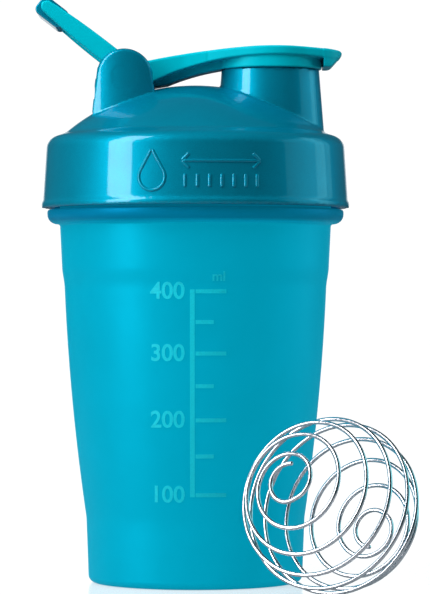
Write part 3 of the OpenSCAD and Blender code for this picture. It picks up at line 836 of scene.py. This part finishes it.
# %% [markdown]
# ## The flip cap
# The cap is an arm that grows from the hinge hub, arches over to the spout and spreads into a disc
# with a thumb lip. Below it hang a keel rib and a collar that snaps over the spout's rim. Its side
# view and its plan are two fields; where they overlap is the cap, with softly rounded edges.

# %% Sizes of the cap
hub_r, hub_w = 5 * MM, 19.2 * MM
cap_t, arm_root, cap_fall = 3 * MM, 7.65 * MM, 6.19 * MM
peak_x = spout_x + 2.6 * MM
cap_arch = (peak_x - pivot_x) ** 2 / (2 * cap_fall)
collar_in = rim_r + 0.3 * MM
collar_r = collar_in + 1.3 * MM
disc_r, waist_x = collar_r + 0.7 * MM, pivot_x + 25 * MM
lip_drop, lip_w, lip_edge = 6 * MM, 2.4 * MM, 1.5 * MM
lip_x, lip_z = spout_x + collar_r + 0.4 * MM, cap_top - lip_drop - 0.5 * MM
keel_depth, keel_w, dome_gap = 2.8 * MM, 12 * MM, 0.6 * MM
plug_base = 1 * MM
plug_seat_z = spout_top + 0.1 * MM + plug_base
button_r, button_h = 2.5 * MM, 1.2 * MM
print(f"cap arch radius {cap_arch:.4f}, disc radius {disc_r:.4f}")


# %% Side view and plan of the cap
def cap_over(x):
    """Height of the cap's arched top."""
    return cap_top - (x - peak_x) ** 2 / (2 * cap_arch)


def cap_under(x):
    """Height of its underside: an even plate at the spout, much deeper at the hinge."""
    share = np.clip((spout_x - x) / (spout_x - pivot_x), 0, 1)
    return cap_over(x) - cap_t - arm_root * share ** 2.7


def tapered(x, y, a, ra, b, rb):
    """Plan of two circles on the X axis, at a and b, and the tangents between them."""
    x, y = x - a, np.abs(y)
    lean = (ra - rb) / (b - a)
    flat = math.sqrt(1 - lean * lean)
    along = x * flat - y * lean
    middle = x * lean + y * flat - ra
    return np.where(along < 0, np.hypot(x, y) - ra,
                    np.where(along > flat * (b - a), np.hypot(x - b + a, y) - rb, middle))


def cap_plan(x, y):
    """Plan of the arm, the disc and its nose."""
    nose = 0.7 * disc_r
    arm = np.maximum(np.abs(y) - hub_w / 2, x - waist_x)
    disc = np.minimum(tapered(x, y, waist_x, hub_w / 2, spout_x, disc_r),
                      tapered(x, y, spout_x, disc_r, tip_x - nose, nose))
    return join(arm, disc, 2 * MM)


print(f"the arm falls {cap_over(peak_x) - cap_over(pivot_x):.4f} from its top to the hinge")


# %% Parts of the cap
def arm_and_disc(x, y, z):
    """The plate with its thumb lip at the tip and the hub at the hinge."""
    below_top = overlap(cap_plan(x, y), z - cap_over(x), 0.8 * MM)
    edge_z = cap_over(tip_x) - lip_edge
    rise, run = edge_z - lip_z, tip_x - lip_x - lip_w
    slant = ((x - tip_x) * rise - (z - edge_z) * run) / math.hypot(rise, run)
    lip = overlap(overlap(below_top, slant, 0.7 * MM), lip_z - z, 0.5 * MM)
    lip = overlap(lip, lip_x - x, 0.3 * MM)
    plate = np.maximum(overlap(below_top, cap_under(x) - z, 0.6 * MM), pivot_x - x)
    plate = overlap(plate, slant, 0.6 * MM)
    hub = overlap(np.hypot(x - pivot_x, z - pivot_z) - hub_r, np.abs(y) - hub_w / 2, 0.4 * MM)
    return join(join(plate, lip, 0.4 * MM), hub, 1.5 * MM)


def keel(x, y, z):
    """The rib under the arm, from hub to collar, which stays clear of the dome."""
    dome = dome_z + np.sqrt(dome_r ** 2 - np.minimum(x * x, dome_r ** 2 / 2))
    keel_z = np.maximum(cap_under(x) - keel_depth, dome + dome_gap)
    rib = overlap(np.abs(y) - keel_w / 2, keel_z - z, 0.7 * MM)
    rib = overlap(rib, z - cap_over(x) + cap_t / 2, 0.1 * MM)
    return np.maximum(rib, slab(x, pivot_x + hub_r, spout_x - collar_in))


def cap_hollow(from_spout, z):
    """Room for the spout's rim, the stopper's seat and the stopper's button."""
    well = np.maximum(from_spout - collar_in, z - spout_top - 3 * fit)
    seat = np.maximum(from_spout - rim_r + 4 * fit, z - plug_seat_z)
    button = np.maximum(from_spout - button_r, z - plug_seat_z - button_h)
    return np.minimum(np.minimum(well, seat), button)


# %% The cap itself
def cap_field(x, y, z):
    from_spout = np.hypot(x - spout_x, y)
    above_spout = np.where(from_spout < collar_r + 0.5 * MM, spout_z + fit - z, -MM)
    solid = np.maximum(arm_and_disc(x, y, z), above_spout)
    solid = join(solid, np.maximum(keel(x, y, z), collar_r - from_spout), 0.5 * MM)
    collar = overlap(from_spout - collar_r, spout_z + fit - z, 0.4 * MM)
    solid = join(solid, np.maximum(collar, z - cap_over(x) + cap_t / 2), 0.35 * MM)
    solid = cut(solid, cap_hollow(from_spout, z), 0.2 * MM)
    return np.maximum(solid, pin_r + fit - np.hypot(x - pivot_x, z - pivot_z))


cap_low, cap_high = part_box("flip_cap")
skinned("cap_moulding", cap_field, cap_low, cap_high, 0.42 * MM, "cap", "flip_cap", "flip_cap")

# %% [markdown]
# ## The finger loop and its grip
# Two flat arms swing on the pin outside the cap's hub, and a bar joins their ends. A thicker grip in
# the lid's plastic is moulded round that bar. Both are drawn in the loop's own plane, along the arm
# and across it, and then turned to the angle at which the loop is parked.

# %% Sizes and plane of the loop
loop_angle = math.radians(37.7)
loop_reach, arm_t, eye_r = 37 * MM, 3.4 * MM, 6 * MM
arm_y = hub_w / 2 + 0.3 * MM
arm_w = 5.9 * MM
arm_top = eye_r - 0.2 * MM
grip_top = arm_top + 0.1 * MM
grip_len, grip_t, grip_round = 10.5 * MM, 6.5 * MM, 2 * MM
grip_mid, grip_level = loop_reach - grip_len / 2, grip_top - grip_t / 2
bar_len, bar_t, bar_in_arm = 6 * MM, 2.6 * MM, 1 * MM
arm_end = loop_reach - 1 * MM
print(f"loop parked {math.degrees(loop_angle):.1f} degrees up, grip {grip_len:.4f} long")


def in_loop(x, z):
    """Along the arm and across it, from the hinge axis."""
    c, s = math.cos(loop_angle), math.sin(loop_angle)
    dx, dz = x - pivot_x, z - pivot_z
    return dz * s - dx * c, dx * s + dz * c


# %% The loop
def arm_profile(along, across):
    """Side view of an arm: a round eye and a bar that thins a little towards its end."""
    t = np.clip(along / loop_reach, 0, 1)
    top = arm_top + 0.9 * MM * t * (1 - t) - 1.2 * MM * t ** 3
    low = arm_top - arm_w - 0.3 * MM * t * (1 - t) + 1.5 * MM * t ** 3
    upper = overlap(across - top, along - arm_end, 2.1 * MM)
    lower = overlap(low - across, along - arm_end, 2.1 * MM)
    band = np.maximum(np.maximum(upper, lower), -along)
    return join(np.hypot(along, across) - eye_r, band, 3 * MM)


def loop_field(x, y, z):
    along, across = in_loop(x, z)
    side = slab(np.abs(y), arm_y, arm_y + arm_t)
    arms = overlap(arm_profile(along, across), side, 0.7 * MM)
    length = slab(along, grip_mid - bar_len / 2, grip_mid + bar_len / 2)
    bar = overlap(length, slab(across, grip_level - bar_t / 2, grip_level + bar_t / 2))
    bar = np.maximum(bar, np.abs(y) - arm_y - bar_in_arm)
    loop = join(arms, bar, 0.2 * MM)
    return np.maximum(loop, pin_r + fit - np.hypot(along, across))


loop_low, loop_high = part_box("carry_loop")
skinned("loop_moulding", loop_field, loop_low, loop_high, 0.4 * MM, "cap", "carry_loop", "carry_loop")


# %% The grip
def grip_field(x, y, z):
    along, across = in_loop(x, z)
    length = slab(along, grip_mid - grip_len / 2, grip_mid + grip_len / 2)
    depth = slab(across, grip_level - grip_t / 2, grip_level + grip_t / 2)
    body = overlap(length, depth, grip_round)
    return overlap(body, np.abs(y) - arm_y + 0.02 * MM, 0.5 * MM)


grip_low, grip_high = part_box("loop_grip")
skinned("grip_moulding", grip_field, grip_low, grip_high, 0.4 * MM, "lid", "carry_loop", "loop_grip")

# %% [markdown]
# ## Seal, stopper and pin
# Three small turned pieces. The seal ring lies on the neck and shows when the lid is off. The soft
# stopper closes the spout's bore and shows when the cap is up. The steel pin carries the cap and the
# loop, and the tower hides it. Plain rings and cylinders would do, but sharp edges look drawn.

# %% Seal ring
seal_in, seal_out = flange_r + 0.3 * MM, seal_high.x
seal_outline = rounded([
    (seal_in, seal_low.z, 0.4 * MM), (seal_out, seal_low.z, 0.4 * MM),
    (seal_out, seal_high.z, 0.4 * MM), (seal_in, seal_high.z, 0.4 * MM)], 4)
points, faces = turned(seal_outline, 160)
even_normals(add_piece("seal_ring", points, faces, "seal", "seal", "lid_seal"))

# %% Stopper
plug_top_r = bore_r - 0.3 * MM
plug_low_r, plug_wall = plug_top_r - 0.4 * MM, 2 * MM
base_z, plug_depth = plug_seat_z - plug_base, 4.6 * MM
plug_outline = rounded([
    (0, base_z - 0.6 * MM, 0), (plug_low_r - plug_wall, base_z - 0.6 * MM, 0.8 * MM),
    (plug_low_r - plug_wall, base_z - plug_depth, 0.5 * MM), (plug_low_r, base_z - plug_depth, 0.7 * MM),
    (plug_top_r, base_z, 0.2 * MM), (rim_r - 0.2 * MM, base_z, 0.2 * MM),
    (rim_r - 0.2 * MM, plug_seat_z, 0.2 * MM), (button_r, plug_seat_z, 0.2 * MM),
    (button_r, plug_seat_z + button_h, 0.3 * MM), (0, plug_seat_z + button_h, 0)], 4)
points, faces = turned(plug_outline, 96)
points = points + (spout_x, 0, 0)
even_normals(add_piece("spout_stopper", points, faces, "plug", "flip_cap", "cap_plug"))

# %% Hinge pin
pin_half = pin_high.y
pin_outline = rounded([(0, -pin_half, 0), (pin_r, -pin_half, 0.3 * MM), (pin_r, pin_half, 0.3 * MM),
                       (0, pin_half, 0)], 4)
points, faces = turned(pin_outline, 48)
points = np.stack([points[:, 0], -points[:, 2], points[:, 1]], 1) + (pivot_x, 0, pivot_z)
even_normals(add_piece("steel_pin", points, faces, "pin", "lid", "hinge_pin"))

# %% [markdown]
# ## The mixing ball
# One length of round wire is wound as a spherical spiral, with a flat ring at each pole. The wire's
# middle line is a formula in the number of turns, and a circle is swept along it. A curve object
# with a bevel would twist near the poles, so the circle's frame comes from the sphere itself.

# %% A tube along a line
def unit(v):
    return v / np.linalg.norm(v, axis=1)[:, None]


def tube(centre, outward, ahead, radius, sides):
    """Circles of the given radii round a line's points, joined by quads and closed at both ends."""
    sideways = unit(np.cross(ahead, outward))
    angles = np.linspace(0, 2 * math.pi, sides, endpoint=False)[:, None]
    spokes = outward[:, None] * np.cos(angles) + sideways[:, None] * np.sin(angles)
    rings = centre[:, None] + radius[:, None, None] * spokes
    last = (len(centre) - 1) * sides
    faces = []
    for low in range(0, last, sides):
        for i in range(sides):
            j = (i + 1) % sides
            faces.append([low + i, low + j, low + sides + j, low + sides + i])
    faces.append(list(range(sides))[::-1])
    faces.append([last + i for i in range(sides)])
    return rings.reshape(-1, 3), faces


# %% The wire's path
wire_r, ball_r, ball_turns = 0.7 * MM, 27 * MM, 9.5
end_angle, end_ring = 13.0, 0.6
ball_pitch, ball_yaw = math.radians(18.7), math.radians(-33.8)
ball_bearing = math.radians(-49.8)
ball_z = ball_r + wire_r
ball_reach = cup_r(ball_z) + 1.4 * MM + ball_z
ball_centre = np.array([ball_reach * math.cos(ball_bearing), ball_reach * math.sin(ball_bearing), ball_z])


def wire_direction(u):
    """Direction of the wire from the ball's centre after u turns."""
    share = np.clip((u - end_ring) / (ball_turns - 2 * end_ring), 0, 1)
    polar = np.radians(end_angle + (180 - 2 * end_angle) * share)
    turn = 2 * math.pi * u + math.pi / 2
    return np.stack([np.sin(polar) * np.cos(turn), np.sin(polar) * np.sin(turn), np.cos(polar)], 1)


path = ball_r * wire_direction(np.linspace(0, ball_turns, 1140))
print(f"wire length {np.linalg.norm(np.diff(path, axis=0), axis=1).sum():.3f} m")


# %% The swept wire
def with_ends(rows, count):
    """Rows with the first and the last repeated, for the rounded ends."""
    return np.concatenate([np.repeat(rows[:1], count, 0), rows, np.repeat(rows[-1:], count, 0)])


def swept_wire(rings=1140, sides=14, end_rings=4):
    """Tube along the spiral with rounded ends, in the ball's own frame."""
    u = np.linspace(0, ball_turns, rings)
    outward = wire_direction(u)
    ahead = unit(wire_direction(u + 0.001) - wire_direction(u - 0.001))
    centre, radius = ball_r * outward, np.full(rings, wire_r)
    cap = np.linspace(0, math.pi / 2, end_rings + 2)[1:-1]
    first = centre[0] - ahead[0] * wire_r * np.sin(cap)[::-1, None]
    last = centre[-1] + ahead[-1] * wire_r * np.sin(cap)[:, None]
    centre = np.concatenate([first, centre, last])
    radius = np.concatenate([wire_r * np.cos(cap)[::-1], radius, wire_r * np.cos(cap)])
    return tube(centre, with_ends(outward, end_rings), with_ends(ahead, end_rings), radius, sides)


def turned_to_park(points):
    """The ball's frame as it lies: its poles tipped up by the pitch and turned by the yaw."""
    tip = math.pi / 2 - ball_pitch
    y = points[:, 1] * math.cos(tip) - points[:, 2] * math.sin(tip)
    z = points[:, 1] * math.sin(tip) + points[:, 2] * math.cos(tip)
    c, s = math.cos(ball_yaw), math.sin(ball_yaw)
    return np.stack([points[:, 0] * c - y * s, points[:, 0] * s + y * c, z], 1)


points, faces = swept_wire()
add_piece("wire_ball", turned_to_park(points) + ball_centre, faces, "wire", "whisk_ball", "whisk_ball")

# %% [markdown]
# ## The printed scale
# Light ink marks on the cup's front show the volume: a rail, a mark every 50 ml, and every 100 ml a
# longer one with its number. Ink could be painted into the cup's material, but a thin raised film
# keeps its own gloss and clean edges, and can be taken off as a piece. Its flat shapes are wrapped
# round the cup.


# %% Volume levels
def fill_levels(volumes):
    """Level of each volume in millilitres, by adding up thin slices of the cup's inside."""
    slice_h, ml_per_m3 = 0.1 * MM, 1e6
    heights = np.arange(floor_t, body_h, slice_h)
    slices = [math.pi * (cup_r(z) - cup_wall) ** 2 * slice_h * ml_per_m3 for z in heights]
    return np.interp(volumes, np.cumsum(slices), heights)


volumes = list(range(100, 401, 50))
levels = fill_levels(volumes)
print("levels of the marks:", [round(float(z), 4) for z in levels])


# %% Ink film from flat outlines
def flat_text(body, size, right, middle):
    """Points and faces of a short text as a flat mesh, given its right edge and middle level."""
    data = bpy.data.curves.new("figures", "FONT")
    data.body, data.size, data.offset = body, size, 0.02 * size
    data.align_x, data.align_y = "RIGHT", "CENTER"
    maker = bpy.data.objects.new("figures", data)
    bpy.context.scene.collection.objects.link(maker)
    bpy.context.view_layer.update()
    mesh = bpy.data.meshes.new_from_object(maker.evaluated_get(bpy.context.evaluated_depsgraph_get()))
    points = [(v.co.x + right, v.co.y + middle) for v in mesh.vertices]
    faces = [list(p.vertices) for p in mesh.polygons]
    bpy.data.objects.remove(maker)
    bpy.data.meshes.remove(mesh)
    return points, faces


def flat_bar(x0, x1, z0, z1, cell=1 * MM):
    """A bar of small faces, so that it bends with the cup."""
    xs = np.linspace(x0, x1, max(2, int((x1 - x0) / cell) + 1))
    zs = np.linspace(z0, z1, max(2, int((z1 - z0) / cell) + 1))
    points = [(x, z) for x in xs for z in zs]
    n = len(zs)
    faces = [[i * n + k, (i + 1) * n + k, (i + 1) * n + k + 1, i * n + k + 1]
             for i in range(len(xs) - 1) for k in range(n - 1)]
    return points, faces


def gathered(shapes):
    """All the points and all the faces of many (points, faces) shapes."""
    points, faces = [], []
    for shape_points, shape_faces in shapes:
        first = len(points)
        points.extend(tuple(point) for point in shape_points)
        faces.extend([v + first for v in face] for face in shape_faces)
    return points, faces


def wrapped_film(points, faces, radius_at, gap, height):
    """Wraps a flat sheet round the front of the cup and gives it thickness and a closed edge."""
    film = []
    for lift in (gap, height):
        for x, z in points:
            r = radius_at(z) + lift
            angle = x / radius_at(z)
            film.append((r * math.sin(angle), -r * math.cos(angle), z))
    n = len(points)
    edges = {}
    for face in faces:
        for a, b in zip(face, face[1:] + face[:1]):
            edges[(a, b)] = edges.get((a, b), 0) + 1
    rim = [(a, b) for a, b in edges if (b, a) not in edges]
    solid = [[v + n for v in face] for face in faces] + [face[::-1] for face in faces]
    solid += [[a, b, b + n, a + n] for a, b in rim]
    return film, solid


# %% The scale itself
print_t, print_gap = 0.15 * MM, 0.02 * MM
mark_w, mark_h, rail_w, mark_start = 10 * MM, 1.3 * MM, 1.5 * MM, 0.25 * MM
figure_size, unit_size = 7.4 * MM, 4.4 * MM
figure_right, unit_right, unit_rise = -rail_w - 1.6 * MM, mark_w - 0.2 * MM, 4.6 * MM
shapes = [flat_bar(-rail_w, 0, levels[0] - mark_h / 2, levels[-1] + mark_h / 2)]
for volume, level in zip(volumes, levels):
    numbered = volume % 100 == 0
    width = mark_w if numbered else 0.6 * mark_w
    shapes.append(flat_bar(mark_start, width, level - mark_h / 2, level + mark_h / 2))
    if numbered:
        shapes.append(flat_text(str(volume), figure_size, figure_right, level))
shapes.append(flat_text("ml", unit_size, unit_right, levels[-1] + unit_rise))
film, film_faces = wrapped_film(*gathered(shapes), cup_r, print_gap, print_t)
scale = add_piece("scale_print", film, film_faces, "ink", "cup", "volume_scale")
scale.data.polygons.foreach_set("use_smooth", [False] * len(scale.data.polygons))

# %% [markdown]
# ## The raised motif on the skirt
# A drop, an arrow that points both ways round and a row of grip bars stand out of the skirt, as
# moulded lids often have. Each is a round ridge, a little more than half sunk in the wall. They could
# be part of the lid's field, but strokes this fine would need a far smaller grid, so each stroke is
# drawn flat, wrapped on the skirt and swept with a circle.


# %% Raised strokes
def skirt_r(z):
    """Outer radius of the skirt at height z."""
    return lid_top + flare * (shoulder_z - z) / skirt_h


def ridge(stroke, radius, sides=10):
    """Tube along a flat stroke (x, z) wrapped on the skirt, with narrow ends."""
    stroke = np.array(stroke)
    r = np.array([skirt_r(z) for z in stroke[:, 1]]) - 0.4 * radius
    angle = stroke[:, 0] / r
    outward = np.stack([np.sin(angle), -np.cos(angle), np.zeros(len(r))], 1)
    centre = np.stack([r * np.sin(angle), -r * np.cos(angle), stroke[:, 1]], 1)
    taper = np.full(len(centre), radius)
    taper[[0, -1]] = 0.35 * radius
    return tube(centre, outward, unit(np.gradient(centre, axis=0)), taper, sides)


def arc_stroke(x, z, radius, start, end, count=60):
    turns = np.radians(np.linspace(start, end, count))
    return [(x + radius * math.cos(a), z + radius * math.sin(a)) for a in turns]


def line_stroke(x0, z0, x1, z1, count=14):
    return [(x0 + (x1 - x0) * t, z0 + (z1 - z0) * t) for t in np.linspace(0, 1, count)]


# %% The motif
stroke_r = 0.6 * MM
drop_x, drop_z, drop_r = -13.5 * MM, rim_z + 8.6 * MM, 4.2 * MM
drop_tip = (drop_x, rim_z + 17.4 * MM)
arrow_x0, arrow_x1, arrow_z, head = -4 * MM, 21 * MM, rim_z + 13.6 * MM, 2.4 * MM
bars, bar_z, bar_half = 7, rim_z + 7.4 * MM, 2.2 * MM
lean = math.degrees(math.acos(drop_r / (drop_tip[1] - drop_z)))
belly = arc_stroke(drop_x, drop_z, drop_r, 90 - lean, -270 + lean)
left_flank = line_stroke(*belly[-1], *drop_tip)
right_flank = line_stroke(*drop_tip, *belly[0])
strokes = [right_flank[:-1] + belly + left_flank[1:]]
strokes.append(line_stroke(arrow_x0, arrow_z, arrow_x1, arrow_z, 36))
for tip, back in ((arrow_x0, head), (arrow_x1, -head)):
    for side in (-head, head):
        strokes.append(line_stroke(tip + back, arrow_z + side, tip, arrow_z))
for x in np.linspace(arrow_x0 + 1 * MM, arrow_x1 - 1 * MM, bars):
    strokes.append(line_stroke(x, bar_z - bar_half, x, bar_z + bar_half))
points, faces = gathered(ridge(stroke, stroke_r) for stroke in strokes)
add_piece("skirt_motif", points, faces, "lid", "lid", None)
